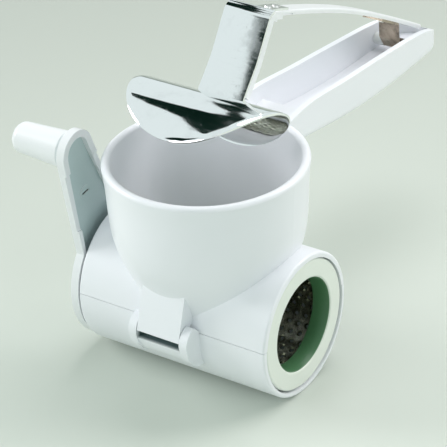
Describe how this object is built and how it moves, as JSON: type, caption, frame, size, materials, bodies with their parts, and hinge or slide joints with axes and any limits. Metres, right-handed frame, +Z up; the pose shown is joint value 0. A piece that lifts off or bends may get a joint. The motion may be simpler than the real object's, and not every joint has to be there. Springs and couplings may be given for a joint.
{
  "type": "rotary_drum_grater",
  "caption": "Hand-held rotary drum grater in white plastic, with a crank, a round hopper and a chromed squeeze lever that presses food on the drum",
  "frame": {"origin": "on the table, below the axis of the round hopper, in the middle of the width of the flat land under the barrel", "axes": "+X along the barrel to its open mouth, +Y back along the handle, +Z up"},
  "size_m": [0.1354, 0.2365, 0.1616],
  "materials": {
    "white_body": "satin white moulded plastic",
    "white_trim": "plain white moulded plastic",
    "white_ring": "satin white moulded plastic",
    "white_crank": "satin white moulded plastic",
    "drum_steel": "punched stainless sheet",
    "press_chrome": "polished bright metal",
    "steel_pins": "drawn steel",
    "screw_steel": "turned steel"
  },
  "bodies": {
    "housing": {"upper_housing": "white_body", "shell_hinge_pin": "steel_pins", "lever_pivot_pin": "steel_pins", "pivot_spacers": "white_trim", "crank_bush": "white_trim"},
    "lower_shell": {"lower_shell": "white_body"},
    "rotor": {"drum_sheet": "drum_steel", "seam_strip": "drum_steel", "mouth_ring": "white_ring", "drum_hub": "white_trim", "hub_screw": "screw_steel", "hub_washer": "screw_steel", "crank_arm": "white_crank", "grip_spindle": "steel_pins"},
    "grip": {"grip": "white_crank"},
    "press": {"lever_handle": "white_crank", "lever_rivets": "screw_steel", "pivot_lug": "press_chrome", "press_arm": "press_chrome", "press_plate": "press_chrome", "plate_rivets": "screw_steel"}
  },
  "joints": [
    {"name": "shell_hinge", "type": "hinge", "parent": "housing", "child": "lower_shell", "pos_m": [0, 0.0373, 0.03727], "axis": [1, 0, 0], "range_deg": [0, 80]},
    {"name": "crank_turn", "type": "hinge", "parent": "housing", "child": "rotor", "pos_m": [0, 0, 0.03327], "axis": [1, 0, 0], "continuous": true},
    {"name": "grip_turn", "type": "hinge", "parent": "rotor", "child": "grip", "pos_m": [-0.07, -0.02449, 0.10522], "axis": [1, 0, 0], "continuous": true},
    {"name": "lever_swing", "type": "hinge", "parent": "housing", "child": "press", "pos_m": [0, 0.166, 0.08827], "axis": [-1, 0, 0], "range_deg": [-22.5, 14]}
  ]
}
